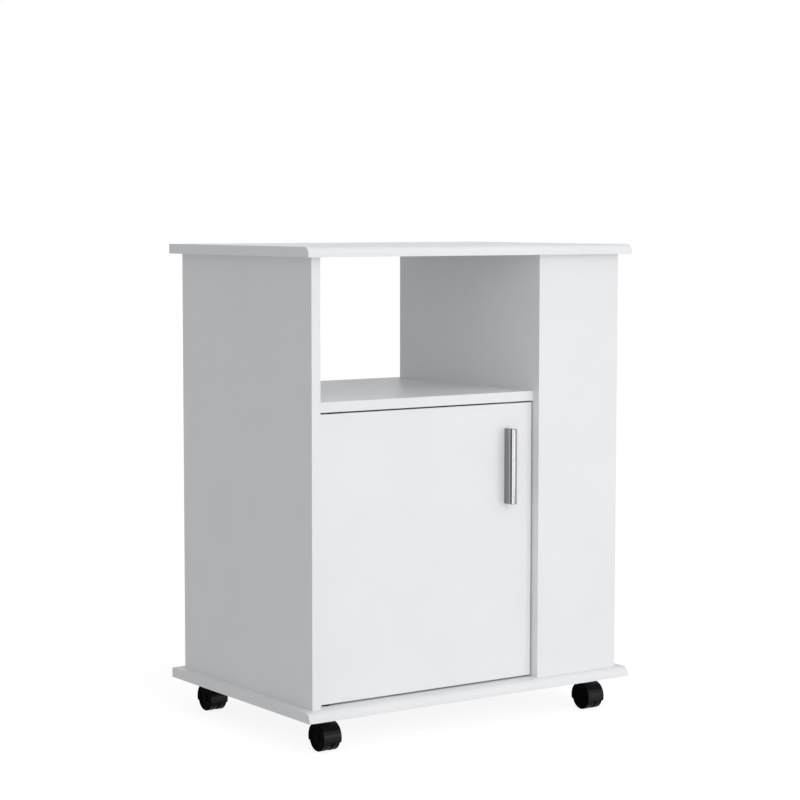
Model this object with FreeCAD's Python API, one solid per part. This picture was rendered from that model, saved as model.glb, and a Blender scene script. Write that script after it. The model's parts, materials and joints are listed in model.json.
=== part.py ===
"""Microwave cabinet on four twin-wheel casters, as knock-down furniture is made.

Two overhanging boards hold a left side panel and a right-hand column between them. A shelf divides the
space between those two into an open niche above and a cupboard with an inset pivot-hung door below. The
column is a narrow side rack, open to the right. Millimetres, +Z up, +X to the right, front towards -Y.
The origin is on the floor under the middle of the boards.
"""
import FreeCAD
import Part
import math
import os
from collections import defaultdict

from FreeCAD import Vector

# ---------------------------------------------------------------- cabinet
BOARD = 15.0  # thickness of every melamine-faced board
TOP_WIDTH = 600.0
TOP_DEPTH = 406.0
END_OVERHANG = 15.0  # top and base boards past the panels, at each end
FRONT_OVERHANG = 16.0
BACK_OVERHANG = 15.0
NOSE_RADIUS = 11.0  # postformed upper front edge of the top and base boards
NICHE_HEIGHT = 210.0  # clear, between the shelf and the top board
CUPBOARD_HEIGHT = 431.0  # clear, between the base board and the shelf
COLUMN_WIDTH = 156.0
RACK_SHELF_COUNT = 2
HARDBOARD = 3.0  # thickness of the cupboard's back
HARDBOARD_MARGIN = 3.0  # the back stops this far short of the edges it lies on

# ---------------------------------------------------------------- door
DOOR_RECESS = 16.0  # front of the side panel to the front of the door
DOOR_SWING_GAP = 0.64  # the hinge-side corners' closest approach to the side panel
DOOR_SIDE_GAP = 2.0  # free edge to the column
DOOR_TOP_GAP = 2.5
DOOR_BOTTOM_GAP = 2.5
PIVOT_INSET = 20.0  # door's hinge edge to the pivot axis
PIN_RADIUS = 3.0
PIN_REACH = 9.0  # pin past the edge of the door
PIN_ROOT = 10.0  # pin inside the door
HINGE_PLATE = 2.0  # thickness, let into the door's edge
HINGE_PLATE_LENGTH = 40.0
HINGE_PLATE_WIDTH = 11.0
HINGE_SCREW_PITCH = 10.5
BUSHING_WALL = 2.0
BUSHING_FLANGE = 1.0  # flange thickness under the shelf
BUSHING_RIM = 2.5  # flange past the bushing's body
RUNNING_FIT = 0.05  # radial, pin in bushing and wheel on axle
SETTING_GAP = 0.2  # between the plate and the flange that carries the door

# ---------------------------------------------------------------- handle
HANDLE_LENGTH = 116.0
HANDLE_DEPTH = 20.0
HANDLE_WIDTH = 9.6  # of the bar at the door and at its front lip
HANDLE_LEDGE = 13.0  # door to the ledge along each side
HANDLE_LEDGE_STEP = 0.4
HANDLE_GROOVE = 2.9  # width of the groove that undercuts the lip
HANDLE_GROOVE_SINK = 1.5
HANDLE_LIP = 0.5  # flat edge of the lip
HANDLE_CORNER = 0.5  # rounding of the lip's front corners
HANDLE_CROWN = 0.6  # bulge of the bar's front
HANDLE_END_ROUND = 1.2
HANDLE_EDGE = 47.4  # handle's centre line to the door's free edge
HANDLE_DROP = 37.5  # door's top edge to the handle's upper end
HANDLE_SCREW_INSET = 10.0  # from each end of the handle

# ---------------------------------------------------------------- casters
CASTER_END_INSET = 51.0  # base board's ends to the swivel axes
CASTER_EDGE_INSET = 50.5  # base board's front and back edges to the swivel axes
CASTER_TRAIL = 12.0  # swivel axis to axle
WHEEL_RADIUS = 20.0
CASTER_WIDTH = 30.5
WHEEL_GAP = 4.0  # between the two wheels of a caster
WHEEL_SIDE_PLAY = 0.4  # wheel to the web beside it
WHEEL_INSET = 0.2  # wheel's outer face behind the hood's side
TREAD_EDGE = 1.2  # bevel along both edges of the tread
WHEEL_DISH = 1.2  # depth of the dish in the wheel's outer face
WHEEL_RIM = 4.4  # tread to the dish
HUB_RADIUS = 6.0
FENDER_PLAY = 0.5  # wheel's tread to the hood
HOOD_WALL = 1.3
HOOD_RISE = 1.0  # hood's centre above the axle
HOOD_SKIRT = 7.0  # hood's lower edge below its centre
WEB_INSET = 1.5  # web between the wheels, in from their treads
AXLE_RADIUS = 2.5
AXLE_CAP = 2.0  # wheel left over the end of the axle
KINGPIN_RADIUS = 2.5
KINGPIN_REACH = 8.0  # kingpin inside the neck
NECK_RADIUS = 7.0
NECK_RISE = 4.4  # crown of the hood to the neck's top
PLATE_SIZE = 38.0
PLATE_THICK = 2.0
PLATE_HOLE_SPACING = 28.0
RACE_RADIUS = 9.5  # pressed ring under the plate that the hood turns against
RACE_HEIGHT = 2.5
RACE_TAPER = 1.2
SWIVEL_GAP = 0.3

# ---------------------------------------------------------------- fasteners
FIT = 0.1  # clearance around each fastener in its hole
CAM_RADIUS = 7.5
CAM_SKIN = 2.5  # board left under a cam's pocket
CAM_REACH = 24.0  # seam to the cam's centre
JOINT_INSET = 48.0  # first joint of a seam from the seam's end
BOLT_RADIUS = 3.5
BOLT_NECK_RADIUS = 2.2
BOLT_HEAD = 2.6
BOLT_GRIP = 11.0  # threaded end past the seam
DOWEL_RADIUS = 4.0
DOWEL_LENGTH = 30.0
DOWEL_SHORT_END = 10.0
SCREW_RADIUS = 1.75  # wood screws of the small fittings
SCREW_HEAD_RADIUS = 3.4
SCREW_LENGTH = 13.0
PAN_HEAD = 2.0  # height of a pan head
BASE_SCREW_RADIUS = 3.0
BASE_SCREW_HEAD = 5.0
BASE_SCREW_LENGTH = 45.0
HANDLE_SCREW_RADIUS = 2.0
HANDLE_SCREW_HEAD = 4.0
HANDLE_SCREW_HEAD_HEIGHT = 2.4
HANDLE_SCREW_BITE = 10.0
NAIL_RADIUS = 0.9
NAIL_HEAD_RADIUS = 2.5
NAIL_HEAD = 0.8  # thickness of the head
NAIL_LENGTH = 16.0
NAIL_INSET = 20.0  # outermost nails from the back panel's corners

# ---------------------------------------------------------------- magnetic catch
CATCH_LENGTH = 46.0
CATCH_DEPTH = 13.0
CATCH_HEIGHT = 14.0
CATCH_WALL = 2.0  # housing around the magnet
CATCH_SIDE = 14.0  # catch to the column
EAR_LENGTH = 11.0
EAR_THICK = 3.0
POLE_PROUD = 0.5
POLE_THICK = 1.5
STRIKE_THICK = 1.2
STRIKE_MARGIN = 1.5  # strike plate past the poles
STRIKE_TAIL = 9.0  # strike plate below the poles, for its screw
CATCH_AIR = 0.3  # poles to strike plate, door shut

# ---------------------------------------------------------------- derived places
X, Y, Z = Vector(1, 0, 0), Vector(0, 1, 0), Vector(0, 0, 1)
EDGE_LEFT, EDGE_RIGHT = -TOP_WIDTH / 2, TOP_WIDTH / 2
EDGE_FRONT, EDGE_BACK = -TOP_DEPTH / 2, TOP_DEPTH / 2
LEFT, RIGHT = EDGE_LEFT + END_OVERHANG, EDGE_RIGHT - END_OVERHANG
FRONT, BACK = EDGE_FRONT + FRONT_OVERHANG, EDGE_BACK - BACK_OVERHANG
INSIDE_LEFT = LEFT + BOARD
COLUMN_LEFT = RIGHT - COLUMN_WIDTH
RACK_LEFT = COLUMN_LEFT + BOARD
INSIDE_FRONT, INSIDE_BACK = FRONT + BOARD, BACK - BOARD

AXLE_Z = WHEEL_RADIUS
FENDER_RADIUS = WHEEL_RADIUS + FENDER_PLAY
HOOD_RADIUS = FENDER_RADIUS + HOOD_WALL
HOOD_CENTRE = AXLE_Z + HOOD_RISE
AXLE_REACH = CASTER_WIDTH / 2 - WHEEL_INSET - AXLE_CAP - SWIVEL_GAP  # each way from its middle
NECK_TOP = HOOD_CENTRE + HOOD_RADIUS + NECK_RISE
RACE_BOTTOM = NECK_TOP + SWIVEL_GAP
PLATE_BOTTOM = RACE_BOTTOM + RACE_HEIGHT
BASE_BOTTOM = PLATE_BOTTOM + PLATE_THICK
FLOOR = BASE_BOTTOM + BOARD
SHELF_BOTTOM = FLOOR + CUPBOARD_HEIGHT
NICHE_FLOOR = SHELF_BOTTOM + BOARD
CEILING = NICHE_FLOOR + NICHE_HEIGHT

BACK_LOW = Vector(LEFT + HARDBOARD_MARGIN, BACK, FLOOR)
BACK_HIGH = Vector(RACK_LEFT - HARDBOARD_MARGIN, BACK + HARDBOARD, NICHE_FLOOR - HARDBOARD_MARGIN)

DOOR_FRONT = FRONT + DOOR_RECESS
DOOR_BACK = DOOR_FRONT + BOARD
DOOR_BOTTOM, DOOR_TOP = FLOOR + DOOR_BOTTOM_GAP, SHELF_BOTTOM - DOOR_TOP_GAP
HINGE_CORNER = math.hypot(PIVOT_INSET, BOARD / 2)  # pivot axis to the door's hinge-side corners
PIVOT = Vector(INSIDE_LEFT + HINGE_CORNER + DOOR_SWING_GAP, DOOR_FRONT + BOARD / 2, 0)
DOOR_LEFT, DOOR_RIGHT = PIVOT.x - PIVOT_INSET, COLUMN_LEFT - DOOR_SIDE_GAP

holes = defaultdict(list)  # board or door name -> solids to cut from it
fasteners = defaultdict(list)  # node name -> its separate solids


# ---------------------------------------------------------------- helpers
def box(low, high):
    """The box between two opposite corners, given in any order."""
    a = Vector(min(low.x, high.x), min(low.y, high.y), min(low.z, high.z))
    b = Vector(max(low.x, high.x), max(low.y, high.y), max(low.z, high.z))
    return Part.makeBox(b.x - a.x, b.y - a.y, b.z - a.z, a)


def rod(radius, start, along, length):
    return Part.makeCylinder(radius, length, start, along)


def cone(start_radius, end_radius, start, along, length):
    return Part.makeCone(start_radius, end_radius, length, start, along)


def prism(edges, along):
    """The solid swept along a vector by the closed outline that the edges make."""
    return Part.Face(Part.Wire(edges)).extrude(along)


def spun(outline, centre, axis_end):
    """The solid turned by an outline of points around the line from centre to axis_end."""
    face = Part.Face(Part.makePolygon(outline + outline[:1]))
    return face.revolve(centre, axis_end - centre, 360)


def drill(board, radius, start, along, depth):
    holes[board].append(rod(radius, start, along, depth))


def save(name, shape):
    """Writes one node, a solid or a list of separate solids."""
    if isinstance(shape, list):
        shape = Part.makeCompound(shape)
    shape.exportStep(os.path.join("parts", name + ".step"))


def save_board(name, shape):
    """Writes a board once its joinery has been cut from it."""
    if holes[name]:
        shape = shape.cut(holes[name])
    save(name, shape.Solids[0])


# ---------------------------------------------------------------- knock-down joinery
def cam_joint(panel, mate, seam, out, face):
    """A bolt in the mate's face and the cam in the panel's face that draws it in.

    seam is in the middle of the panel's thickness where the boards meet, out points from the panel to the
    mate, and face from the panel's middle to the side that the cam is let in from.
    """
    centre = seam - out * CAM_REACH
    mouth = centre + face * (BOARD / 2)
    depth = BOARD - CAM_SKIN
    drill(panel, CAM_RADIUS + FIT, mouth, -face, depth + FIT)
    drill(panel, BOLT_RADIUS + FIT, seam, -out, CAM_REACH)
    drill(mate, BOLT_RADIUS + FIT, seam, out, BOLT_GRIP + FIT)

    cam = rod(CAM_RADIUS, mouth, -face, depth)
    cup = rod(BOLT_RADIUS + FIT, centre - out * BOLT_HEAD, out, BOLT_HEAD + FIT)
    throat = rod(BOLT_NECK_RADIUS + FIT, centre, out, CAM_RADIUS)
    side = out.cross(face)
    slot_reach, slot_half, slot_depth = 0.6 * CAM_RADIUS, 0.1 * CAM_RADIUS, 0.15 * depth
    slots = []
    for a, b in ((out, side), (side, out)):
        corner = a * slot_reach + b * slot_half
        slots.append(box(mouth - corner, mouth + corner - face * slot_depth))
    fasteners["cam_locks"].append(cam.cut([cup, throat] + slots))

    head = rod(BOLT_RADIUS, centre - out * (BOLT_HEAD - FIT), out, BOLT_HEAD)
    neck_length = CAM_RADIUS + FIT
    neck = rod(BOLT_NECK_RADIUS, centre, out, neck_length)
    shank_length = CAM_REACH - neck_length + BOLT_GRIP
    shank = rod(BOLT_RADIUS, centre + out * neck_length, out, shank_length)
    fasteners["cam_bolts"].append(head.fuse([neck, shank]))


def dowel_joint(node, panel, mate, seam, out):
    """A wooden dowel, its short end in the mate's face and the rest in the panel's end."""
    long_end = DOWEL_LENGTH - DOWEL_SHORT_END
    drill(panel, DOWEL_RADIUS + FIT, seam, -out, long_end + FIT)
    drill(mate, DOWEL_RADIUS + FIT, seam, out, DOWEL_SHORT_END + FIT)
    fasteners[node].append(rod(DOWEL_RADIUS, seam - out * long_end, out, DOWEL_LENGTH))


def countersunk_screw(node, surface, along, radius, head_radius, length, boards):
    """A screw sunk flush in a surface. boards are the names of what it passes through and into."""
    head_depth = head_radius - radius
    shank = rod(radius, surface, along, length)
    fasteners[node].append(shank.fuse(cone(head_radius, radius, surface, along, head_depth)))
    for board in boards:
        drill(board, radius + FIT, surface, along, length + FIT)
        holes[board].append(cone(head_radius + FIT, radius + FIT, surface, along, head_depth))


def cabinet_joinery():
    """The cams, bolts, dowels and base screws that hold the boards together."""
    panel_middle, divider_middle = LEFT + BOARD / 2, COLUMN_LEFT + BOARD / 2
    shelf_middle = SHELF_BOTTOM + BOARD / 2
    for y in (INSIDE_FRONT + JOINT_INSET, INSIDE_BACK - JOINT_INSET):
        cam_joint("left_side_panel", "top_board", Vector(panel_middle, y, CEILING), Z, X)
        cam_joint("divider_panel", "top_board", Vector(divider_middle, y, CEILING), Z, X)
        cam_joint("middle_shelf", "left_side_panel", Vector(INSIDE_LEFT, y, shelf_middle), -X, -Z)
        cam_joint("middle_shelf", "divider_panel", Vector(COLUMN_LEFT, y, shelf_middle), X, -Z)
        for name, x in (("left_side_panel", panel_middle), ("divider_panel", divider_middle)):
            countersunk_screw(
                "base_screws", Vector(x, y, BASE_BOTTOM), Z,
                BASE_SCREW_RADIUS, BASE_SCREW_HEAD, BASE_SCREW_LENGTH, ["base_board", name],
            )
    for name, y in (("column_front_panel", FRONT + BOARD / 2), ("column_back_panel", BACK - BOARD / 2)):
        for x in (RACK_LEFT + CAM_REACH, RIGHT - CAM_REACH):
            dowel_joint("board_dowels", name, "top_board", Vector(x, y, CEILING), Z)
            dowel_joint("board_dowels", name, "base_board", Vector(x, y, FLOOR), -Z)
    for z in (FLOOR + JOINT_INSET, CEILING - JOINT_INSET):
        front, back = Vector(divider_middle, INSIDE_FRONT, z), Vector(divider_middle, INSIDE_BACK, z)
        dowel_joint("board_dowels", "divider_panel", "column_front_panel", front, -Y)
        dowel_joint("board_dowels", "divider_panel", "column_back_panel", back, Y)


def back_nails():
    """Flat-headed nails through the cupboard's back into the boards that it lies on."""
    low, high = BACK_LOW.z + NAIL_INSET, SHELF_BOTTOM - NAIL_INSET
    places = [
        (board, x, z)
        for board, x in (
            ("left_side_panel", LEFT + BOARD / 2),
            ("column_back_panel", COLUMN_LEFT + BOARD / 2),
        )
        for z in (low, (low + high) / 2, high)
    ]
    third = (COLUMN_LEFT - INSIDE_LEFT) / 3
    places += [("middle_shelf", INSIDE_LEFT + third * i, SHELF_BOTTOM + BOARD / 2) for i in (1, 2)]
    for board, x, z in places:
        outside = Vector(x, BACK_HIGH.y, z)
        for name in ("cupboard_back_panel", board):
            drill(name, NAIL_RADIUS + FIT, outside, -Y, NAIL_LENGTH + FIT)
        shank = rod(NAIL_RADIUS, outside, -Y, NAIL_LENGTH)
        fasteners["back_panel_nails"].append(shank.fuse(rod(NAIL_HEAD_RADIUS, outside, Y, NAIL_HEAD)))


# ---------------------------------------------------------------- boards
def nosed_board(name, bottom):
    """The top or base board: flat cut ends and a front edge rounded over from above."""
    top, nose = bottom + BOARD, NOSE_RADIUS * math.sqrt(0.5)
    centre_y, centre_z = EDGE_FRONT + NOSE_RADIUS, top - NOSE_RADIUS
    spring = Vector(EDGE_LEFT, EDGE_FRONT, centre_z)
    crown = Vector(EDGE_LEFT, centre_y, top)
    halfway = Vector(EDGE_LEFT, centre_y - nose, centre_z + nose)
    low_front, low_back = Vector(EDGE_LEFT, EDGE_FRONT, bottom), Vector(EDGE_LEFT, EDGE_BACK, bottom)
    high_back = Vector(EDGE_LEFT, EDGE_BACK, top)
    edges = [
        Part.LineSegment(low_back, low_front).toShape(),
        Part.LineSegment(low_front, spring).toShape(),
        Part.Arc(spring, halfway, crown).toShape(),
        Part.LineSegment(crown, high_back).toShape(),
        Part.LineSegment(high_back, low_back).toShape(),
    ]
    save_board(name, prism(edges, X * TOP_WIDTH))


def rack_shelves():
    """Shelves of the side rack, evenly spaced, each dowelled to the column's front and back panels."""
    bay = (CEILING - FLOOR - RACK_SHELF_COUNT * BOARD) / (RACK_SHELF_COUNT + 1)
    names = []
    for i in range(RACK_SHELF_COUNT):
        name = f"rack_shelf_{i + 1}"
        bottom = FLOOR + bay + i * (bay + BOARD)
        for x in (RACK_LEFT + CAM_REACH, RIGHT - CAM_REACH):
            middle = bottom + BOARD / 2
            front, back = Vector(x, INSIDE_FRONT, middle), Vector(x, INSIDE_BACK, middle)
            dowel_joint("rack_shelf_dowels", name, "column_front_panel", front, -Y)
            dowel_joint("rack_shelf_dowels", name, "column_back_panel", back, Y)
        names.append((name, bottom))
    for name, bottom in names:
        low = Vector(RACK_LEFT, INSIDE_FRONT, bottom)
        save_board(name, box(low, Vector(RIGHT, INSIDE_BACK, bottom + BOARD)))


def boards():
    nosed_board("base_board", BASE_BOTTOM)
    nosed_board("top_board", CEILING)
    uprights = {
        "left_side_panel": (LEFT, INSIDE_LEFT, FRONT, BACK),
        "divider_panel": (COLUMN_LEFT, RACK_LEFT, INSIDE_FRONT, INSIDE_BACK),
        "column_front_panel": (COLUMN_LEFT, RIGHT, FRONT, INSIDE_FRONT),
        "column_back_panel": (COLUMN_LEFT, RIGHT, INSIDE_BACK, BACK),
    }
    for name, (x0, x1, y0, y1) in uprights.items():
        save_board(name, box(Vector(x0, y0, FLOOR), Vector(x1, y1, CEILING)))
    shelf_low = Vector(INSIDE_LEFT, INSIDE_FRONT, SHELF_BOTTOM)
    save_board("middle_shelf", box(shelf_low, Vector(COLUMN_LEFT, BACK, NICHE_FLOOR)))
    save_board("cupboard_back_panel", box(BACK_LOW, BACK_HIGH))


# ---------------------------------------------------------------- door and its pivots
def stadium(centre, length_before, length_after, width, thickness):
    """A flat bar with round ends, in the XY plane, from centre.z up. The lengths are to the ends' tips."""
    r = width / 2
    a = centre - X * (length_before - r)
    b = centre + X * (length_after - r)
    edges = [
        Part.LineSegment(a - Y * r, b - Y * r).toShape(),
        Part.Arc(b - Y * r, b + X * r, b + Y * r).toShape(),
        Part.LineSegment(b + Y * r, a + Y * r).toShape(),
        Part.Arc(a + Y * r, a - X * r, a - Y * r).toShape(),
    ]
    return prism(edges, Z * thickness)


def pivot_hinge(end, edge_z, out, board, flange):
    """One end of the door's pivot: a plate let into the door's edge, its pin, and the bushing it turns in.

    out points from the door's edge to the board that holds the bushing, and flange is the thickness of the
    bushing's flange, which stands on that board's surface.
    """
    before, after = HINGE_PLATE_WIDTH, HINGE_PLATE_LENGTH - HINGE_PLATE_WIDTH
    edge = PIVOT + Z * edge_z
    plate_low = edge if out.z < 0 else edge - Z * HINGE_PLATE
    plate = stadium(plate_low, before, after, HINGE_PLATE_WIDTH, HINGE_PLATE)
    pocket = stadium(plate_low, before + FIT, after + FIT, HINGE_PLATE_WIDTH + 2 * FIT, HINGE_PLATE)
    holes["door_panel"].append(pocket)
    drill("door_panel", PIN_RADIUS + FIT, edge, -out, PIN_ROOT + FIT)
    name = f"hinge_plate_{end}"
    holes[name].append(rod(PIN_RADIUS + FIT, edge, -out, HINGE_PLATE))
    for x in (after - before - HINGE_SCREW_PITCH, after - before):
        countersunk_screw(
            "hinge_screws", edge + X * x, -out, SCREW_RADIUS, SCREW_HEAD_RADIUS, SCREW_LENGTH,
            ["door_panel", name],
        )
    save_board(name, plate)
    save(f"hinge_pin_{end}", rod(PIN_RADIUS, edge - out * PIN_ROOT, out, PIN_ROOT + PIN_REACH))

    bore = PIN_RADIUS + RUNNING_FIT
    outside = bore + BUSHING_WALL
    surface = edge + out * (DOOR_TOP_GAP if out.z > 0 else DOOR_BOTTOM_GAP)
    depth = PIN_REACH
    body = rod(outside, surface, out, depth)
    ring = rod(outside + BUSHING_RIM, surface - out * flange, out, flange)
    clear = rod(bore, surface - out * flange, out, flange + depth)
    drill(board, outside + FIT, surface, out, depth + FIT)
    save(f"hinge_bushing_{end}", body.fuse(ring).cut(clear).removeSplitter())


def handle():
    """A chrome bar pull: an extruded bar with a crowned front lip, undercut by a groove down each side."""
    middle_x = DOOR_RIGHT - HANDLE_EDGE
    top = DOOR_TOP - HANDLE_DROP
    bottom = top - HANDLE_LENGTH
    half = HANDLE_WIDTH / 2
    neck = half - HANDLE_LEDGE_STEP
    brow = HANDLE_DEPTH - HANDLE_CROWN
    shoulder = brow - HANDLE_CORNER
    lip = shoulder - HANDLE_LIP
    groove, root = lip - HANDLE_GROOVE, neck - HANDLE_GROOVE_SINK
    nip = HANDLE_CORNER * math.sqrt(0.5)

    def at(side, out):
        return Vector(middle_x + side, DOOR_FRONT - out, bottom)

    def flank(sign):
        places = [
            (half, 0), (half, HANDLE_LEDGE), (neck, HANDLE_LEDGE), (neck, groove), (root, groove),
            (root, lip), (half, lip), (half, shoulder),
        ]
        corners = [at(sign * side, out) for side, out in places]
        return [Part.LineSegment(a, b).toShape() for a, b in zip(corners, corners[1:])]

    def corner(sign):
        halfway = at(sign * (half - HANDLE_CORNER + nip), shoulder + nip)
        return Part.Arc(at(sign * half, shoulder), halfway, at(sign * (half - HANDLE_CORNER), brow)).toShape()

    crown = Part.Arc(at(half - HANDLE_CORNER, brow), at(0, HANDLE_DEPTH), at(HANDLE_CORNER - half, brow))
    base = Part.LineSegment(at(-half, 0), at(half, 0)).toShape()
    outline = [base, *flank(1), corner(1), crown.toShape(), corner(-1), *flank(-1)]
    bar = prism(outline, Z * HANDLE_LENGTH)
    block = box(at(-half, 0), at(half, HANDLE_DEPTH) + Z * HANDLE_LENGTH)
    ends = [e for e in block.Edges if e.BoundBox.XLength > half and e.BoundBox.YMax < DOOR_FRONT - brow]
    bar = bar.common(block.makeFillet(HANDLE_END_ROUND, ends))

    reach = BOARD + HANDLE_SCREW_BITE
    for z in (bottom + HANDLE_SCREW_INSET, top - HANDLE_SCREW_INSET):
        inside = Vector(middle_x, DOOR_BACK, z)
        screw_head = rod(HANDLE_SCREW_HEAD, inside, Y, HANDLE_SCREW_HEAD_HEIGHT)
        fasteners["handle_screws"].append(screw_head.fuse(rod(HANDLE_SCREW_RADIUS, inside, -Y, reach)))
        drill("door_panel", HANDLE_SCREW_RADIUS + FIT, inside, -Y, BOARD)
        drill("door_handle", HANDLE_SCREW_RADIUS + FIT, inside, -Y, reach + FIT)
    save_board("door_handle", bar)


def magnetic_catch():
    """A catch screwed under the shelf and the strike plate on the door that it holds."""
    right = COLUMN_LEFT - CATCH_SIDE
    left = right - CATCH_LENGTH
    middle_x = (left + right) / 2
    strike_face = DOOR_BACK + STRIKE_THICK
    pole_face = strike_face + CATCH_AIR
    front = pole_face + POLE_PROUD
    back, low = front + CATCH_DEPTH, SHELF_BOTTOM - CATCH_HEIGHT
    ear_bottom = SHELF_BOTTOM - EAR_THICK
    ear_middle = Vector(middle_x, (front + back) / 2, ear_bottom)
    body = box(Vector(left + EAR_LENGTH, front, low), Vector(right - EAR_LENGTH, back, SHELF_BOTTOM))
    ears = stadium(ear_middle, CATCH_LENGTH / 2, CATCH_LENGTH / 2, CATCH_DEPTH, EAR_THICK)
    for sign in (-1, 1):
        countersunk_screw(
            "catch_screws", ear_middle + X * (sign * (CATCH_LENGTH - EAR_LENGTH) / 2), Z,
            SCREW_RADIUS, SCREW_HEAD_RADIUS, SCREW_LENGTH, ["catch_housing", "middle_shelf"],
        )

    half = (CATCH_LENGTH - 2 * EAR_LENGTH) / 2 - CATCH_WALL
    pole_low, pole_high = low + CATCH_WALL, ear_bottom - CATCH_WALL
    magnet_back = back - CATCH_WALL
    well_low = Vector(middle_x - half - FIT, front, pole_low - FIT)
    well = box(well_low, Vector(middle_x + half + FIT, magnet_back + FIT, pole_high + FIT))
    save_board("catch_housing", body.fuse(ears).removeSplitter().cut(well))

    def layer(y, z, height):
        return box(Vector(middle_x - half, y, z), Vector(middle_x + half, magnet_back, z + height))

    poles = [layer(pole_face, z, POLE_THICK) for z in (pole_low, pole_high - POLE_THICK)]
    magnet = layer(front, pole_low + POLE_THICK, pole_high - pole_low - 2 * POLE_THICK)
    save("catch_magnet", magnet)
    save("catch_poles", poles)

    strike_half = half + STRIKE_MARGIN
    strike_low = pole_low - STRIKE_TAIL
    strike = box(
        Vector(middle_x - strike_half, DOOR_BACK, strike_low),
        Vector(middle_x + strike_half, strike_face, pole_high + STRIKE_MARGIN),
    )
    head = Vector(middle_x, strike_face, strike_low + STRIKE_TAIL / 2)
    countersunk_screw(
        "strike_screw", head, -Y, SCREW_RADIUS, SCREW_RADIUS + STRIKE_THICK, SCREW_LENGTH,
        ["strike_plate", "door_panel"],
    )
    save_board("strike_plate", strike)


def door():
    pivot_hinge("top", DOOR_TOP, Z, "middle_shelf", BUSHING_FLANGE)
    pivot_hinge("bottom", DOOR_BOTTOM, -Z, "base_board", DOOR_BOTTOM_GAP - SETTING_GAP)
    handle()
    magnetic_catch()
    low, high = Vector(DOOR_LEFT, DOOR_FRONT, DOOR_BOTTOM), Vector(DOOR_RIGHT, DOOR_BACK, DOOR_TOP)
    save_board("door_panel", box(low, high))


# ---------------------------------------------------------------- casters
def caster_plate(name, swivel):
    """A square mounting plate with a race pressed out of it for the hood to turn against."""
    half, spacing = PLATE_SIZE / 2, PLATE_HOLE_SPACING / 2
    low, high = swivel + Vector(-half, -half, PLATE_BOTTOM), swivel + Vector(half, half, BASE_BOTTOM)
    plate = box(low, high)
    upright = [e for e in plate.Edges if e.BoundBox.ZLength > PLATE_THICK / 2]
    plate = plate.makeFillet(half - spacing, upright)
    race = cone(RACE_RADIUS - RACE_TAPER, RACE_RADIUS, swivel + Z * RACE_BOTTOM, Z, RACE_HEIGHT)
    for dx in (-spacing, spacing):
        for dy in (-spacing, spacing):
            head = swivel + Vector(dx, dy, PLATE_BOTTOM)
            screw_head = rod(SCREW_HEAD_RADIUS, head, -Z, PAN_HEAD)
            fasteners["caster_screws"].append(screw_head.fuse(rod(SCREW_RADIUS, head, Z, SCREW_LENGTH)))
            drill(name, SCREW_RADIUS + FIT, head, Z, PLATE_THICK)
            drill("base_board", SCREW_RADIUS + FIT, head, Z, SCREW_LENGTH + FIT)
    drill(name, KINGPIN_RADIUS + FIT, swivel + Z * RACE_BOTTOM, Z, RACE_HEIGHT + PLATE_THICK)
    save_board(name, plate.fuse(race).removeSplitter())


def caster_hood(name, swivel, trail):
    """The moulded body: a fender over both wheels, the web between them, and the neck on the kingpin."""
    half, web = CASTER_WIDTH / 2, WHEEL_GAP / 2 - WHEEL_SIDE_PLAY
    axle = swivel + trail + Z * AXLE_Z
    centre = swivel + trail + Z * HOOD_CENTRE
    drum = rod(HOOD_RADIUS, centre - X * half, X, CASTER_WIDTH)
    skirt_low = centre - Vector(half, HOOD_RADIUS, HOOD_SKIRT)
    skirt = box(skirt_low, centre + Vector(half, HOOD_RADIUS, HOOD_RADIUS))
    neck = rod(NECK_RADIUS, swivel + Z * HOOD_CENTRE, Z, NECK_TOP - HOOD_CENTRE)
    disc = rod(WHEEL_RADIUS - WEB_INSET, axle - X * web, X, 2 * web)
    wells = [rod(FENDER_RADIUS, axle + X * web * side, X * side, half) for side in (-1, 1)]
    bore = rod(KINGPIN_RADIUS + RUNNING_FIT, swivel + Z * NECK_TOP, -Z, KINGPIN_REACH + SWIVEL_GAP)
    axle_hole = rod(AXLE_RADIUS + FIT, axle - X * half, X, CASTER_WIDTH)
    hood = drum.common(skirt).fuse([neck, disc]).cut(wells + [bore, axle_hole])
    save(name, hood.removeSplitter())


def caster_wheel(name, axle, side):
    """A wheel with a dished outer face around its hub cap, which closes the axle's bore. side is -1 or 1."""
    inner, outer = WHEEL_GAP / 2, CASTER_WIDTH / 2 - WHEEL_INSET
    bore, rim = AXLE_RADIUS + RUNNING_FIT, WHEEL_RADIUS - WHEEL_RIM
    outline = [
        (inner, bore), (inner, WHEEL_RADIUS - TREAD_EDGE), (inner + TREAD_EDGE, WHEEL_RADIUS),
        (outer - TREAD_EDGE, WHEEL_RADIUS), (outer, WHEEL_RADIUS - TREAD_EDGE), (outer, rim),
        (outer - WHEEL_DISH, rim - WHEEL_DISH), (outer - WHEEL_DISH, HUB_RADIUS), (outer, HUB_RADIUS),
        (outer, 0), (AXLE_REACH + SWIVEL_GAP, 0), (AXLE_REACH + SWIVEL_GAP, bore),
    ]
    points = [axle + Vector(side * across, 0, radius) for across, radius in outline]
    save(name, spun(points, axle, axle + X))


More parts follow.
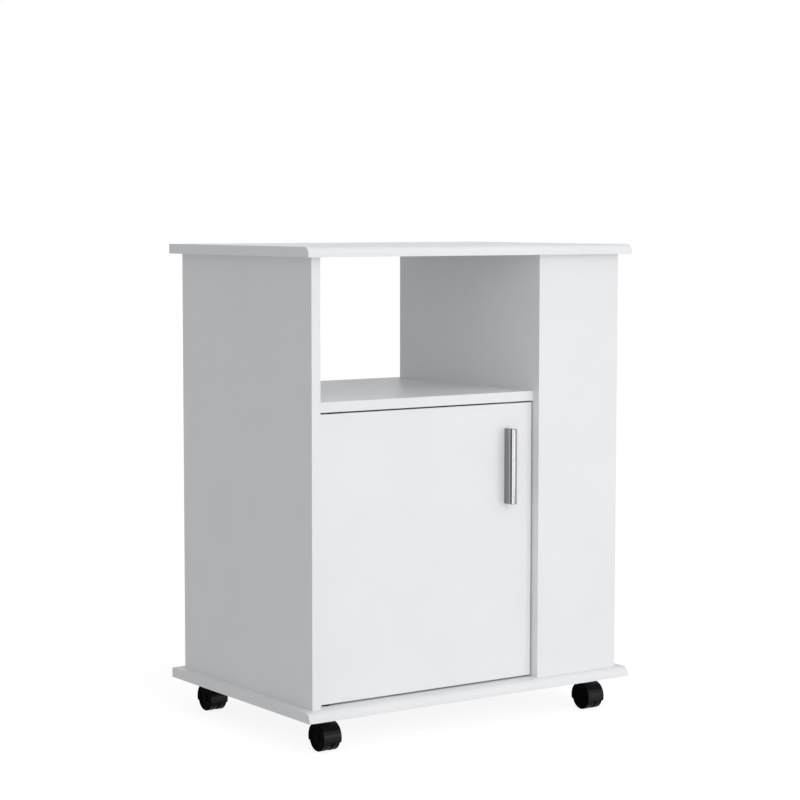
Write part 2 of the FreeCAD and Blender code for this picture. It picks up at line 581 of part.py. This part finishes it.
def casters():
    for end, y_side in (("front", -1), ("back", 1)):
        for hand, x_side in (("left", -1), ("right", 1)):
            where = f"{end}_{hand}"
            swivel = Vector(
                x_side * (TOP_WIDTH / 2 - CASTER_END_INSET), y_side * (TOP_DEPTH / 2 - CASTER_EDGE_INSET), 0
            )
            trail = Y * (y_side * CASTER_TRAIL)
            axle = swivel + trail + Z * AXLE_Z
            caster_plate(f"caster_plate_{where}", swivel)
            caster_hood(f"caster_hood_{where}", swivel, trail)
            pin_length = BASE_BOTTOM - NECK_TOP + KINGPIN_REACH
            save(f"kingpin_{where}", rod(KINGPIN_RADIUS, swivel + Z * BASE_BOTTOM, -Z, pin_length))
            save(f"caster_axle_{where}", rod(AXLE_RADIUS, axle - X * AXLE_REACH, X, 2 * AXLE_REACH))
            for side, label in ((-1, "left"), (1, "right")):
                caster_wheel(f"caster_wheel_{where}_{label}", axle, side)


def main():
    os.makedirs("parts", exist_ok=True)
    cabinet_joinery()
    back_nails()
    casters()
    rack_shelves()
    door()
    boards()
    for name, solids in fasteners.items():
        save(name, solids)


main()
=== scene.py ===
import json
import math

import bmesh
import bpy
from mathutils import Matrix, Vector


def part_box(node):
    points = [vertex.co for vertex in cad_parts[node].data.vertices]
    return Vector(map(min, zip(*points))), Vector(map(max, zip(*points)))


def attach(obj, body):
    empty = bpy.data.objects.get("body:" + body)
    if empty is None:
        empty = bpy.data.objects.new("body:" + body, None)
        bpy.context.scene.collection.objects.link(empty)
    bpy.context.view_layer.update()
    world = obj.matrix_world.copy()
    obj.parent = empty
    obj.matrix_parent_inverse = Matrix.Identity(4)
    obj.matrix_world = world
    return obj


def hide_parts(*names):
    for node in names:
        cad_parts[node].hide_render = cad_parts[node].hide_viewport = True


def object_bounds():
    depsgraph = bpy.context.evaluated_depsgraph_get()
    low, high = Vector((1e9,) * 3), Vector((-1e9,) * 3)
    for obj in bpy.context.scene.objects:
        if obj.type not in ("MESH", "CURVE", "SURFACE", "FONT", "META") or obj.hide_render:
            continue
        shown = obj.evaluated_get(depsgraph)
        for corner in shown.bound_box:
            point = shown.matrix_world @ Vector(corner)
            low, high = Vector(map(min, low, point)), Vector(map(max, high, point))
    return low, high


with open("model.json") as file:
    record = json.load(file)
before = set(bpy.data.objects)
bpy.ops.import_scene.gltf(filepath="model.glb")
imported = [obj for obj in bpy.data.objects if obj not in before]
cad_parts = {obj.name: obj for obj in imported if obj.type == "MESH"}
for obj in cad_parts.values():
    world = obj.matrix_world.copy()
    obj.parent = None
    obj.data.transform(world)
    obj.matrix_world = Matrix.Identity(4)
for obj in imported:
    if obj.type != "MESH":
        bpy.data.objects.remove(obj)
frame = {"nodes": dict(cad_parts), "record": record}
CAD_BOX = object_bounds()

NODES = frame["nodes"]
BODY_OF = {
    node: body for body, nodes in frame["record"]["behaviour"]["bodies"].items() for node in nodes
}
SLOT_OF = {part["node"]: part["material_slot"] for part in frame["record"]["subparts"]}

# ---------------------------------------------------------------- camera
CAMERA_PLACE = (-1.9843, -2.8563, 0.7808)
CAMERA_YAW, CAMERA_PITCH, CAMERA_ROLL = 34.77, -4.73, 0.05  # degrees: right of +Y, up, clockwise
CAMERA_LENS, CAMERA_SENSOR = 99.76, 36.0
CAMERA_NEAR, CAMERA_FAR = 0.05, 60.0


def add_camera():
    yaw, pitch, roll = (math.radians(a) for a in (CAMERA_YAW, CAMERA_PITCH, CAMERA_ROLL))
    ahead = math.cos(pitch)
    forward = Vector((math.sin(yaw) * ahead, math.cos(yaw) * ahead, math.sin(pitch)))
    level = Vector((math.cos(yaw), -math.sin(yaw), 0))
    upright = level.cross(forward)
    right = level * math.cos(roll) + upright * math.sin(roll)
    up = upright * math.cos(roll) - level * math.sin(roll)
    data = bpy.data.cameras.new("camera")
    data.lens, data.sensor_width = CAMERA_LENS, CAMERA_SENSOR
    data.clip_start, data.clip_end = CAMERA_NEAR, CAMERA_FAR
    camera = bpy.data.objects.new("camera", data)
    bpy.context.scene.collection.objects.link(camera)
    turn = Matrix((right, up, -forward)).transposed().to_4x4()
    camera.matrix_world = Matrix.Translation(CAMERA_PLACE) @ turn
    bpy.context.scene.camera = camera


# ---------------------------------------------------------------- node trees
class Nodes:
    """A material's or world's node tree, with a short call for each kind of node used here."""

    def __init__(self, owner, output="ShaderNodeOutputMaterial"):
        owner.use_nodes = True
        self.owner, self.tree = owner, owner.node_tree
        self.tree.nodes.clear()
        self.output = self.tree.nodes.new(output)

    def link(self, a, b):
        self.tree.links.new(a, b)

    def add(self, kind, **settings):
        node = self.tree.nodes.new(kind)
        for name, value in settings.items():
            setattr(node, name, value)
        return node

    def place(self, scale=(1, 1, 1)):
        """Places on the object in metres. A scale below 1 stretches a pattern along that axis."""
        mapping = self.add("ShaderNodeMapping")
        mapping.inputs["Scale"].default_value = scale
        self.link(self.add("ShaderNodeTexCoord").outputs["Object"], mapping.inputs["Vector"])
        return mapping.outputs["Vector"]

    def noise(self, place, scale, detail=3.0, roughness=0.55):
        node = self.add("ShaderNodeTexNoise")
        node.inputs["Scale"].default_value = scale
        node.inputs["Detail"].default_value = detail
        node.inputs["Roughness"].default_value = roughness
        self.link(place, node.inputs["Vector"])
        return node.outputs["Fac"]

    def ramp(self, factor, low, high, start=0.3, end=0.7):
        """From low to high, each a grey or a colour, as the factor goes from start to end."""
        node = self.add("ShaderNodeValToRGB")
        for stop, place, value in zip(node.color_ramp.elements, (start, end), (low, high)):
            stop.position = place
            colour = (value,) * 3 if isinstance(value, float) else value
            stop.color = (*colour, 1.0)
        self.link(factor, node.inputs["Fac"])
        return node.outputs["Color"]

    def maths(self, operation, *values):
        """The result of a Math node. Each value is a float or another node's output."""
        node = self.add("ShaderNodeMath", operation=operation)
        for socket, value in zip(node.inputs, values):
            if isinstance(value, float):
                socket.default_value = value
            else:
                self.link(value, socket)
        return node.outputs[0]

    def bump(self, height, distance, strength):
        node = self.add("ShaderNodeBump")
        node.inputs["Distance"].default_value = distance
        node.inputs["Strength"].default_value = strength
        self.link(height, node.inputs["Height"])
        return node.outputs["Normal"]

    def surface(self, colour, roughness, normal, specular=None, **constants):
        """Ends a material. Sources that aren't None are linked, and constants are set by name."""
        shader = self.add("ShaderNodeBsdfPrincipled")
        for name, value in constants.items():
            shader.inputs[name.replace("_", " ")].default_value = value
        names = ("Base Color", "Roughness", "Normal", "Specular IOR Level")
        for name, source in zip(names, (colour, roughness, normal, specular)):
            if source:
                self.link(source, shader.inputs[name])
        self.link(shader.outputs["BSDF"], self.output.inputs["Surface"])
        return self.owner

    def unless_looked_at(self, lit, seen):
        """Ends a material or the world: one shader lights the object, the other is what is seen.

        Seen is by a ray from the camera, or by one mirrored or let through to it.
        """
        path = self.add("ShaderNodeLightPath")
        kinds = ("Camera", "Glossy", "Transmission")
        camera, glossy, through = (path.outputs[f"Is {kind} Ray"] for kind in kinds)
        looked_at = self.maths("MAXIMUM", self.maths("MAXIMUM", camera, glossy), through)
        mix = self.add("ShaderNodeMixShader")
        self.link(looked_at, mix.inputs["Fac"])
        self.link(lit.outputs[0], mix.inputs[1])
        self.link(seen.outputs[0], mix.inputs[2])
        self.link(mix.outputs[0], self.output.inputs["Surface"])


def new_material(name):
    return Nodes(bpy.data.materials.new(name))


# ---------------------------------------------------------------- materials
MELAMINE = (0.800, 0.808, 0.822)
METAL_CLOUD = 12  # how many times as large as a metal's finish marks its clouds of tone are
PEBBLE = 1800.0  # scale of the spark-eroded skin of moulded plastic
PEBBLE_DEPTH = 0.00004
PAINTED_SHADE_END_SHEEN = 0.006  # specular level of the ends of a part rounded about X, where shade is painted by taking their sheen away
END_LEAN = (0.15, 0.6)  # the normal's share along X where the fade of the sheen into painted shade starts and ends
PAINTED_SHADE_BELOW_SHEEN = 0.3  # share of the sheen kept underneath, where shade is painted by dulling it
PAINTED_SHADE_BELOW_LEAN = (0.34, 0.47)  # where that share ends and the whole starts: 0 faces down, 0.5 level


def shade(colour, factor):
    return tuple(c * factor for c in colour)


def melamine():
    """White melamine foil: an even satin white, with a fine pearl grain pressed into it."""
    n = new_material("white_melamine")
    place = n.place()
    clouds = n.noise(place, scale=9.0, detail=2.0)
    tone = n.ramp(clouds, shade(MELAMINE, 0.985), shade(MELAMINE, 1.01))
    gloss = n.ramp(n.noise(place, scale=26.0), 0.34, 0.42)
    grain = n.bump(n.noise(place, scale=1400.0, detail=2.0), distance=0.00004, strength=0.35)
    return n.surface(tone, gloss, grain, Specular_IOR_Level=0.25)


def hardboard():
    """Pressed wood fibre: brown, with pale and dark fibres lying every way."""
    n = new_material("hardboard")
    clouds = n.ramp(n.noise(n.place(), scale=18.0), (0.27, 0.165, 0.085), (0.36, 0.23, 0.125))
    fibres = n.noise(n.place((1.0, 1.0, 0.25)), scale=900.0, detail=6.0, roughness=0.7)
    mix = n.add("ShaderNodeMix", data_type="RGBA", blend_type="MULTIPLY")
    mix.inputs["Factor"].default_value = 0.6
    n.link(clouds, mix.inputs["A"])
    n.link(n.ramp(fibres, 0.62, 1.0, 0.35, 0.65), mix.inputs["B"])
    rough = n.bump(fibres, distance=0.0002, strength=0.5)
    return n.surface(mix.outputs["Result"], None, rough, Roughness=0.72)


def beech():
    """Turned beech dowel: pale brown, with short darker flecks along the grain."""
    n = new_material("beech")
    flecks = n.noise(n.place((1.0, 0.2, 0.2)), scale=700.0, detail=5.0, roughness=0.65)
    tone = n.ramp(flecks, (0.42, 0.27, 0.14), (0.60, 0.42, 0.24), 0.35, 0.6)
    return n.surface(tone, None, n.bump(flecks, distance=0.0001, strength=0.4), Roughness=0.6)


def metal(name, dark, light, rough, scale, stretch=(1, 1, 1), depth=0.00002):
    """Metal with finish marks. rough is the least and most roughness, stretch draws marks out."""
    n = new_material(name)
    marks = n.noise(n.place(stretch), scale, detail=4.0, roughness=0.6)
    tone = n.ramp(n.noise(n.place(), scale / METAL_CLOUD, detail=2.0), dark, light)
    gloss = n.ramp(marks, *rough)
    return n.surface(tone, gloss, n.bump(marks, depth, strength=0.3), Metallic=1.0)


def moulded(name, colour, rough, specular, painted_shade_ends=False, painted_shade_below=False, lift=1.25):
    """Moulded plastic with a fine spark-eroded skin, a little lighter where it has been rubbed.

    For parts rounded about X, one flag paints shade on the ends by dulling their sheen, and the
    other paints shade underneath the same way.
    """
    n = new_material(name)
    place = n.place()
    tone = n.ramp(n.noise(place, scale=60.0), colour, shade(colour, lift))
    gloss = n.ramp(n.noise(place, scale=140.0), *rough)
    skin = n.bump(n.noise(place, PEBBLE, detail=2.0), PEBBLE_DEPTH, strength=0.4)
    if painted_shade_ends:
        return n.surface(tone, gloss, skin, sheen_with_painted_shade(n, specular, painted_shade_below))
    return n.surface(tone, gloss, skin, Specular_IOR_Level=specular)


def sheen_with_painted_shade(n, most, painted_shade_below):
    """Specular level of a part rounded about X: painted shade dulls it at both ends, and below if
    asked.
    """
    lean = n.add("ShaderNodeSeparateXYZ")
    n.link(n.add("ShaderNodeTexCoord").outputs["Normal"], lean.inputs[0])
    sheen = n.ramp(n.maths("ABSOLUTE", lean.outputs["X"]), most, PAINTED_SHADE_END_SHEEN, *END_LEAN)
    if not painted_shade_below:
        return sheen
    upwards = n.maths("MULTIPLY_ADD", lean.outputs["Z"], 0.5, 0.5)
    return n.maths("MULTIPLY", sheen, n.ramp(upwards, PAINTED_SHADE_BELOW_SHEEN, 1.0, *PAINTED_SHADE_BELOW_LEAN))


# ---------------------------------------------------------------- mesh helpers
WELD = 2e-6  # vertices closer than this are one
FLAT = math.radians(0.4)  # faces that meet at less than this are one
CREASE = math.radians(32)  # edges sharper than this stay sharp
ROUNDED = math.radians(40)  # edges sharper than this are rounded
ROUNDING_STEPS = 2
LATHE_STEPS = 40


def finished(node, bm, material):
    """A piece in place of a CAD node, on its body and in its slot. Frees the bmesh."""
    mesh = bpy.data.meshes.new(node + "_shape")
    bm.to_mesh(mesh)
    bm.free()
    mesh.materials.append(material)
    piece = bpy.data.objects.new(node + "_finished", mesh)
    bpy.context.scene.collection.objects.link(piece)
    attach(piece, BODY_OF[node])
    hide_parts(node)
    return piece


def mark_creases(bm, angle=CREASE):
    """Shades the mesh smooth, apart from its edges sharper than the angle."""
    for face in bm.faces:
        face.smooth = True
    for edge in bm.edges:
        edge.smooth = len(edge.link_faces) == 2 and edge.calc_face_angle(0.0) < angle


def welded(node):
    """A CAD node's mesh as one closed skin, its flat faces whole again. The caller frees it."""
    bm = bmesh.new()
    bm.from_mesh(NODES[node].data)
    bmesh.ops.remove_doubles(bm, verts=bm.verts, dist=WELD)
    bmesh.ops.dissolve_limit(bm, angle_limit=FLAT, verts=bm.verts, edges=bm.edges)
    return bm


def softened(node, material, radius):
    """A CAD node with the fine rounding that its edges really have."""
    bm = welded(node)
    mark_creases(bm)
    bevel = finished(node, bm, material).modifiers.new("edges", "BEVEL")
    bevel.width, bevel.segments = radius, ROUNDING_STEPS
    bevel.limit_method, bevel.angle_limit = "ANGLE", ROUNDED
    bevel.harden_normals = True
    bevel.use_clamp_overlap = True


def islands(node):
    """(lowest corner, highest corner) of each separate solid in a CAD node, in a steady order."""
    bm = welded(node)
    found, seen = [], set()
    for first in bm.verts:
        if first in seen:
            continue
        group, front = [], [first]
        seen.add(first)
        while front:
            vert = front.pop()
            group.append(vert.co.copy())
            for edge in vert.link_edges:
                other = edge.other_vert(vert)
                if other not in seen:
                    seen.add(other)
                    front.append(other)
        lows = Vector(min(v[i] for v in group) for i in range(3))
        highs = Vector(max(v[i] for v in group) for i in range(3))
        found.append((lows, highs))
    bm.free()
    return sorted(found, key=lambda pair: tuple(round(c, 5) for c in pair[0]))


def lathe(outline):
    """A mesh turned round +Z from an outline of (radius, height) points, bottom first."""
    bm = bmesh.new()
    turns = [2 * math.pi * i / LATHE_STEPS for i in range(LATHE_STEPS)]
    rings = []
    for radius, height in outline:
        if radius == 0:
            rings.append([bm.verts.new((0, 0, height))])
        else:
            points = [(radius * math.cos(a), radius * math.sin(a), height) for a in turns]
            rings.append([bm.verts.new(point) for point in points])
    for low, high in zip(rings, rings[1:]):
        for i in range(LATHE_STEPS):
            j = (i + 1) % LATHE_STEPS
            corners = [low[i % len(low)], low[j % len(low)]]
            corners += [high[j % len(high)], high[i % len(high)]]
            corners = [c for k, c in enumerate(corners) if c not in corners[:k]]
            if len(corners) > 2:
                bm.faces.new(corners)
    bmesh.ops.recalc_face_normals(bm, faces=bm.faces)
    return bm


def carved(bm, cutter):
    """The mesh of the first shape less the second. Frees both."""
    objects = []
    for name, shape in (("carved", bm), ("cutter", cutter)):
        mesh = bpy.data.meshes.new(name)
        shape.to_mesh(mesh)
        shape.free()
        ob = bpy.data.objects.new(name, mesh)
        bpy.context.scene.collection.objects.link(ob)
        objects.append(ob)
    body, tool = objects
    cut = body.modifiers.new("cut", "BOOLEAN")
    cut.operation, cut.object, cut.solver = "DIFFERENCE", tool, "EXACT"
    bpy.context.view_layer.update()
    finished_body = body.evaluated_get(bpy.context.evaluated_depsgraph_get())
    result = bpy.data.meshes.new_from_object(finished_body)
    for ob in objects:
        mesh = ob.data
        bpy.data.objects.remove(ob)
        bpy.data.meshes.remove(mesh)
    return result


# ---------------------------------------------------------------- screws
SCREWS = {  # way the heads face, radii of shank and head, kind, how far the head stands proud
    "caster_screws": ((0, 0, -1), 0.00175, 0.0034, "pan", 0.002),
    "handle_screws": ((0, 1, 0), 0.002, 0.004, "pan", 0.0024),
    "catch_screws": ((0, 0, -1), 0.00175, 0.0034, "sunk", 0.0),
    "strike_screw": ((0, 1, 0), 0.00175, 0.00295, "sunk", 0.0),
    "base_screws": ((0, 0, -1), 0.003, 0.005, "hex", 0.0),
}
POINT = 1.6  # length of a screw's point, in radii of its shank
RIM, DOME = 0.35, 1.1  # heights of a pan head's rim and crown, in the same radii
DOME_STEPS = 6
UNDERSIDE = 0.00001  # how far a pan head's underside falls towards the shank
RECESS_DEPTH, HEX_RADIUS = 0.55, 0.5  # in radii of the head, like the two below
CROSS_REACH, CROSS_WIDTH = 0.58, 0.12
CROSS_TAPER = 0.45  # size of the cross at its bottom, where it is 1 at the top
ARM_TAPER = 0.4  # how much of that taper the width of its arms takes
OVERCUT = 0.0004  # how far a recess's tool stands above the head
BOX_FACES = ((0, 1, 2, 3), (4, 5, 6, 7), (0, 1, 5, 4), (1, 2, 6, 5), (2, 3, 7, 6), (3, 0, 4, 7))


def cross_tool(reach, width, top, depth):
    """A tapering cross, as the recess for a crosshead screwdriver, cut down from a height."""
    bm = bmesh.new()
    for turn in (0, 1):
        for tip, size in ((top + OVERCUT, 1.0), (top - depth, CROSS_TAPER)):
            for sx, sy in ((-1, -1), (1, -1), (1, 1), (-1, 1)):
                x, y = sx * reach * size, sy * width * (1 - ARM_TAPER + ARM_TAPER * size)
                bm.verts.new((y, x, tip) if turn else (x, y, tip))
        bm.verts.ensure_lookup_table()
        first = 8 * turn
        for quad in BOX_FACES:
            bm.faces.new([bm.verts[first + i] for i in quad])
    bmesh.ops.recalc_face_normals(bm, faces=bm.faces)
    return bm


def hex_tool(radius, top, depth):
    """A hexagonal prism, as the socket for a hex key."""
    bm = bmesh.new()
    bmesh.ops.create_cone(
        bm, cap_ends=True, segments=6, radius1=radius, radius2=radius, depth=depth + OVERCUT,
        matrix=Matrix.Translation((0, 0, top + (OVERCUT - depth) / 2)),
    )
    return bm


def screw_mesh(shank, head, length, kind):
    """A screw along -Z with its head's seat at the origin: kind is pan, sunk or hex."""
    outline = [(0.0, -length), (shank, -length + POINT * shank)]
    top = 0.0
    if kind == "pan":
        rim, top = RIM * shank, DOME * shank
        outline += [(shank, -UNDERSIDE), (head, 0.0), (head, rim)]
        for i in range(1, DOME_STEPS):
            a = math.pi / 2 * i / DOME_STEPS
            outline.append((head * math.cos(a), rim + (top - rim) * math.sin(a)))
    else:
        outline += [(shank, shank - head), (head, 0.0)]
    outline.append((0.0, top))
    depth = RECESS_DEPTH * head
    if kind == "hex":
        tool = hex_tool(HEX_RADIUS * head, top, depth)
    else:
        tool = cross_tool(CROSS_REACH * head, CROSS_WIDTH * head, top, depth)
    return carved(lathe(outline), tool)


def screws(node, material):
    """Finished screws in place of a CAD node's plain ones."""
    out, shank, head, kind, proud = SCREWS[node]
    way = Vector(out)
    axis = max(range(3), key=lambda i: abs(way[i]))
    turn = Vector((0, 0, 1)).rotation_difference(way).to_matrix().to_4x4()
    parts = islands(node)
    length = parts[0][1][axis] - parts[0][0][axis] - proud
    one = screw_mesh(shank, head, length, kind)
    joined = bmesh.new()
    for lows, highs in parts:
        seat = (lows + highs) / 2
        seat[axis] = (highs if way[axis] > 0 else lows)[axis] - way[axis] * proud
        copy = one.copy()
        copy.transform(Matrix.Translation(seat) @ turn)
        joined.from_mesh(copy)
        bpy.data.meshes.remove(copy)
    bpy.data.meshes.remove(one)
    bmesh.ops.remove_doubles(joined, verts=joined.verts, dist=WELD)
    mark_creases(joined)
    finished(node, joined, material)


# ---------------------------------------------------------------- handle
HANDLE_LEDGE, HANDLE_LEDGE_STEP = 0.0130, 0.0004
HANDLE_GROOVE, HANDLE_GROOVE_SINK = 0.0029, 0.0015
HANDLE_LIP, HANDLE_CORNER, HANDLE_CROWN, HANDLE_END = 0.0005, 0.0005, 0.0006, 0.0012
HANDLE_BREAK = 0.00015  # how far back the ledge slopes towards its edge
HANDLE_CREASE = math.radians(28)
CORNER_STEPS, CROWN_STEPS = 8, 16
END_STEPS = 4


def arc_points(start, middle, end, steps):
    """Points on the circle through three, from the start up to but without the end."""
    (ax, ay), (bx, by), (cx, cy) = start, middle, end
    d = 2 * (ax * (by - cy) + bx * (cy - ay) + cx * (ay - by))
    aa, bb, cc = ax * ax + ay * ay, bx * bx + by * by, cx * cx + cy * cy
    ux = (aa * (by - cy) + bb * (cy - ay) + cc * (ay - by)) / d
    uy = (aa * (cx - bx) + bb * (ax - cx) + cc * (bx - ax)) / d
    radius = math.hypot(ax - ux, ay - uy)
    first, last = math.atan2(ay - uy, ax - ux), math.atan2(cy - uy, cx - ux)
    sweep = (last - first + math.pi) % (2 * math.pi) - math.pi
    turns = [first + sweep * i / steps for i in range(steps)]
    return [(ux + radius * math.cos(a), uy + radius * math.sin(a)) for a in turns]


def handle_profile(width, depth):
    """Half of the handle's section: (side, out) points from the door to the middle of the front."""
    half = width / 2
    neck = half - HANDLE_LEDGE_STEP
    brow = depth - HANDLE_CROWN
    shoulder = brow - HANDLE_CORNER
    lip = shoulder - HANDLE_LIP
    groove, root = lip - HANDLE_GROOVE, neck - HANDLE_GROOVE_SINK
    points = [
        (half, 0), (half, HANDLE_LEDGE - HANDLE_BREAK), (neck, HANDLE_LEDGE),
        (neck, groove), (root, groove), (root, lip), (half, lip),
    ]
    turned, nip = half - HANDLE_CORNER, HANDLE_CORNER * math.sqrt(0.5)
    halfway = (turned + nip, shoulder + nip)
    points += arc_points((half, shoulder), halfway, (turned, brow), CORNER_STEPS)
    crown = arc_points((turned, brow), (0.0, depth), (-turned, brow), CROWN_STEPS)
    return points + crown[:CROWN_STEPS // 2 + 1]


def handle(material):
    """The door handle: its section drawn along Z, its front rounded back at both ends."""
    node = "door_handle"
    lows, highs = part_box(node)
    middle, depth = (lows.x + highs.x) / 2, highs.y - lows.y
    half = handle_profile(highs.x - lows.x, depth)
    section = half + [(-side, out) for side, out in reversed(half[:-1])]
    insets = [HANDLE_END * i / END_STEPS for i in range(END_STEPS + 1)]
    stations = [(lows.z + inset, inset) for inset in insets]
    stations += [(highs.z - inset, inset) for inset in reversed(insets)]
    bm = bmesh.new()
    rings = []
    for z, inset in stations:
        limit = depth - HANDLE_END * (1 - math.sqrt(1 - (1 - inset / HANDLE_END) ** 2))
        points = [(middle + side, highs.y - min(out, limit), z) for side, out in section]
        rings.append([bm.verts.new(point) for point in points])
    for low, high in zip(rings, rings[1:]):
        for i in range(len(section)):
            j = (i + 1) % len(section)
            bm.faces.new((low[i], low[j], high[j], high[i]))
    bm.faces.new(rings[0])
    bm.faces.new(rings[-1])
    bmesh.ops.recalc_face_normals(bm, faces=bm.faces)
    mark_creases(bm, HANDLE_CREASE)
    finished(node, bm, material)


# ---------------------------------------------------------------- stage
KEYS = (  # degrees right of the front, distance, width, height, radiance, shows in mirrors or not
    (-9.0, 3.6, 1.89, 3.6, 1.20, False),
    (31.5, 6.0, 1.83, 4.0, 0.85, False),
    (5.3, 2.0, 1.03, 0.42, 1.9, True),
    (31.2, 2.0, 0.58, 0.42, 2.15, True),
)
KEY_LIFT = 0.02  # the keys' lower edges above the floor
TOP_PLACE, TOP_SIZE, TOP_RADIANCE = Vector((0.3, -0.6, 3.0)), 2.4, 0.76
FILL = 0.30  # radiance from all round
FILL_WAYS = (((0, -1, 0), 0.69), ((-1, 0, 0), 0.06), ((0, 1, 0), 0.08))  # more from these ways
FILL_COLOUR = (0.985, 0.992, 1.0, 1.0)
WHITE = (1.0, 1.0, 1.0, 1.0)
FLOOR_GLOW, FLOOR_TONE, FLOOR_BOUNCE = 0.86, 0.30, 0.80
FLOOR_REACH = 12.0


def add_light(name, place, target, width, height, radiance):
    """A soft rectangular lamp that faces the target, its power from its size and radiance."""
    data = bpy.data.lights.new(name, "AREA")
    data.shape, data.size, data.size_y = "RECTANGLE", width, height
    data.energy = radiance * math.pi * width * height
    lamp = bpy.data.objects.new(name, data)
    bpy.context.scene.collection.objects.link(lamp)
    lamp.location = place
    lamp.rotation_mode = "QUATERNION"
    lamp.rotation_quaternion = (place - target).to_track_quat("Z", "Y")
    lamp.visible_camera = False
    return lamp


def add_world():
    """White to the camera and in mirrors. To the object it is a soft fill, more from some ways."""
    world = bpy.data.worlds.new("studio")
    bpy.context.scene.world = world
    n = Nodes(world, "ShaderNodeOutputWorld")
    coords = n.add("ShaderNodeTexCoord")
    strength = FILL
    for way, more in FILL_WAYS:
        towards = n.add("ShaderNodeVectorMath", operation="DOT_PRODUCT")
        n.link(coords.outputs["Generated"], towards.inputs[0])
        towards.inputs[1].default_value = way
        facing = n.maths("MAXIMUM", towards.outputs["Value"], 0.0)
        strength = n.maths("MULTIPLY_ADD", facing, more, strength)
    fill, white = n.add("ShaderNodeBackground"), n.add("ShaderNodeBackground")
    fill.inputs["Color"].default_value = FILL_COLOUR
    n.link(strength, fill.inputs["Strength"])
    white.inputs["Color"].default_value = WHITE
    white.inputs["Strength"].default_value = 1.0
    n.unless_looked_at(fill, white)


def add_floor():
    """White paper that keeps a faint shadow. Seen directly or mirrored, it glows up to white."""
    n = new_material("floor")
    lit, seen = n.add("ShaderNodeBsdfDiffuse"), n.add("ShaderNodeBsdfDiffuse")
    lit.inputs["Color"].default_value = (FLOOR_BOUNCE,) * 3 + (1.0,)
    seen.inputs["Color"].default_value = (FLOOR_TONE,) * 3 + (1.0,)
    glow, both = n.add("ShaderNodeEmission"), n.add("ShaderNodeAddShader")
    glow.inputs["Strength"].default_value = FLOOR_GLOW
    n.link(seen.outputs[0], both.inputs[0])
    n.link(glow.outputs[0], both.inputs[1])
    n.unless_looked_at(lit, both)
    bm = bmesh.new()
    bmesh.ops.create_grid(bm, x_segments=1, y_segments=1, size=FLOOR_REACH)
    mesh = bpy.data.meshes.new("floor")
    bm.to_mesh(mesh)
    bm.free()
    mesh.materials.append(n.owner)
    floor = bpy.data.objects.new("floor", mesh)
    floor.location.z = CAD_BOX[0].z
    bpy.context.scene.collection.objects.link(floor)


def add_stage():
    add_floor()
    add_world()
    for i, (turn, distance, width, height, radiance, mirrored) in enumerate(KEYS):
        way = Vector((math.sin(math.radians(turn)), -math.cos(math.radians(turn)), 0))
        place = way * distance + Vector((0, 0, CAD_BOX[0].z + height / 2 + KEY_LIFT))
        key = add_light(f"key_{i}", place, place - way, width, height, radiance)
        key.visible_glossy = mirrored
    add_light("top", TOP_PLACE, Vector((0, 0, CAD_BOX[1].z)), TOP_SIZE, TOP_SIZE, TOP_RADIANCE)
    bpy.context.scene.view_settings.view_transform = "Standard"


# ---------------------------------------------------------------- the object
BOARD_EDGE = 0.0004  # rounding of the edge band
MOULDED_EDGE = 0.0004
PRESSED_EDGE = 0.0003
BLACK = (0.0014, 0.0014, 0.0015)


def dress():
    chrome = metal(
        "chrome", (0.30, 0.30, 0.305), (0.33, 0.33, 0.335),
        rough=(0.10, 0.16), scale=2600.0, stretch=(1, 1, 0.03),
    )
    zinc = metal(
        "zinc_plated_steel", (0.50, 0.51, 0.54), (0.62, 0.62, 0.62),
        rough=(0.28, 0.40), scale=900.0,
    )
    # Darker zinc for the hinge pins: painted shade for the narrow door gap that they sit in.
    painted_shade_zinc = metal(
        "zinc_with_painted_shade", (0.22, 0.22, 0.22), (0.30, 0.30, 0.295),
        rough=(0.30, 0.45), scale=900.0,
    )
    cast = metal(
        "zinc_die_cast", (0.42, 0.425, 0.44), (0.52, 0.52, 0.53),
        rough=(0.42, 0.55), scale=1500.0, depth=0.00006,
    )
    magnet = metal(
        "ferrite", (0.045, 0.045, 0.05), (0.075, 0.075, 0.08),
        rough=(0.55, 0.7), scale=2200.0, depth=0.00008,
    )
    # Both black nylons carry painted shade: their sheen is dulled on the ends, and the hoods'
    # underneath too.
    black = moulded("black_nylon", BLACK, (0.36, 0.46), 0.07, painted_shade_ends=True)
    satin = moulded("black_nylon_satin", BLACK, (0.21, 0.28), 0.22, painted_shade_ends=True, painted_shade_below=True)
    nylon = moulded("white_nylon", (0.70, 0.70, 0.68), (0.38, 0.48), 0.45, lift=1.03)
    by_slot = {
        "white_melamine": melamine(), "hardboard": hardboard(), "beech": beech(),
        "chrome": chrome, "zinc_plated_steel": zinc, "zinc_die_cast": cast, "ferrite": magnet,
        "black_nylon": black, "white_nylon": nylon,
    }
    by_piece = {"caster_hood": satin, "hinge_pin": painted_shade_zinc}  # by the start of the node's name; the hinge pins get zinc darkened as painted shade
    edges = {
        "white_melamine": BOARD_EDGE, "black_nylon": MOULDED_EDGE, "white_nylon": PRESSED_EDGE,
    }
    for node, ob in NODES.items():
        slot = SLOT_OF[node]
        special = (by_piece[start] for start in by_piece if node.startswith(start))
        look = next(special, by_slot[slot])
        ob.data.materials.clear()
        ob.data.materials.append(look)
        if slot in edges:
            softened(node, look, edges[slot])
        elif node.startswith("caster_plate"):
            softened(node, zinc, PRESSED_EDGE)
        elif node in SCREWS:
            screws(node, zinc)
    handle(chrome)


add_camera()
add_stage()
dress()
